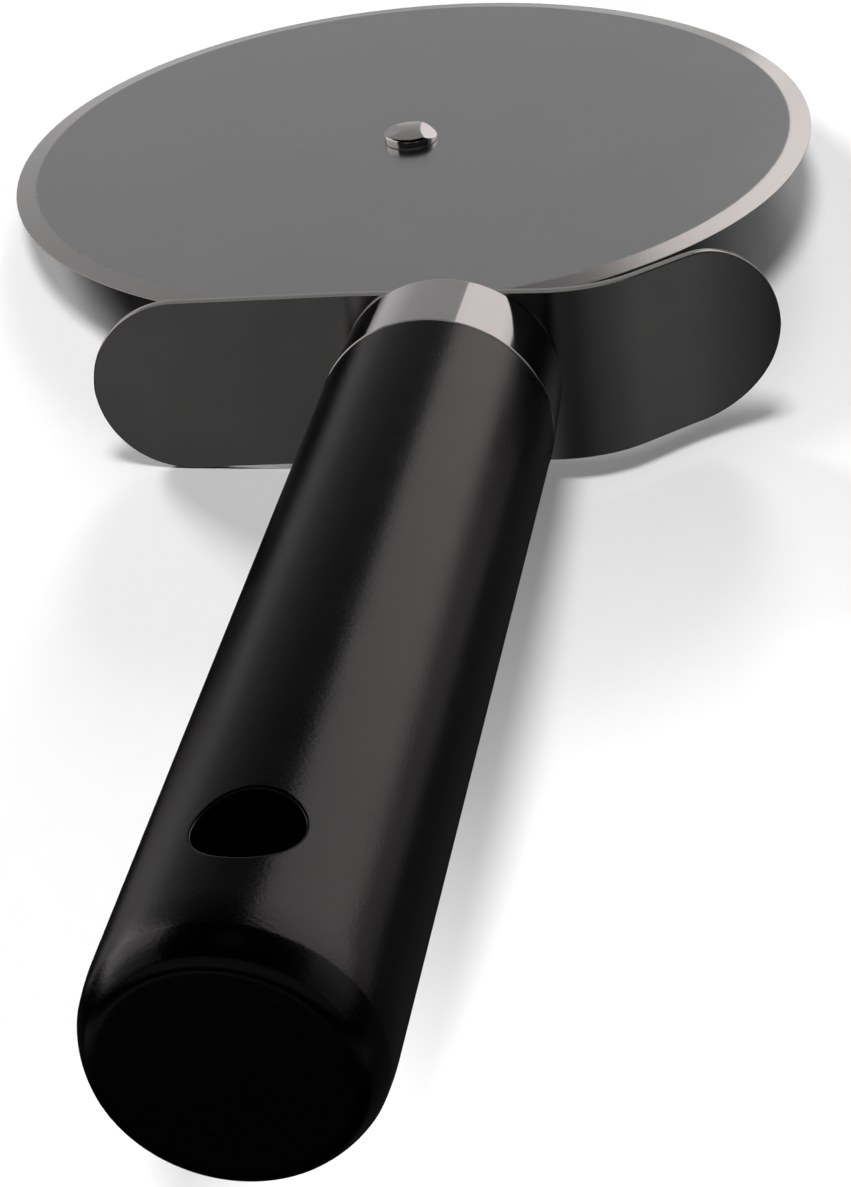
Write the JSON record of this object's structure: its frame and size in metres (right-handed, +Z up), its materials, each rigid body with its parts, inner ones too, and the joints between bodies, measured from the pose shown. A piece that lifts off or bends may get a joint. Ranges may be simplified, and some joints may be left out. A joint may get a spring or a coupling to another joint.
{
  "type": "rotary wheel cutter",
  "caption": "Hand-held rotary cutter: a flat steel disc that spins on a rivet, ahead of a bent finger guard and a straight round plastic handle with a hanging hole.",
  "frame": {"origin": "middle of the underside of the bounding box, on the surface that the ferrule and the handle lie on", "axes": "+Y runs from the handle's end toward the disc, +Z is up along the disc's axle, +X points to the side of the guard's bent thumb wing"},
  "size_m": [0.1016, 0.228, 0.0255],
  "materials": {
    "wheel_steel": "fine satin, ground bright toward the edge",
    "rivet_steel": "polished",
    "washer_steel": "plain",
    "arm_steel": "satin",
    "guard_steel": "bright, nearly mirror-like",
    "ferrule_steel": "polished",
    "black_plastic": "satin black"
  },
  "bodies": {
    "grip": {"handle": "black_plastic", "ferrule": "ferrule_steel", "finger_guard": "guard_steel", "carrier_arm": "arm_steel", "spacer_washer": "washer_steel", "axle_rivet": "rivet_steel"},
    "wheel": {"cutting_wheel": "wheel_steel"}
  },
  "joints": [
    {"name": "wheel_spin", "type": "hinge", "parent": "grip", "child": "wheel", "pos_m": [0, 0.0632, 0.01536], "axis": [0, 0, 1], "continuous": true}
  ]
}
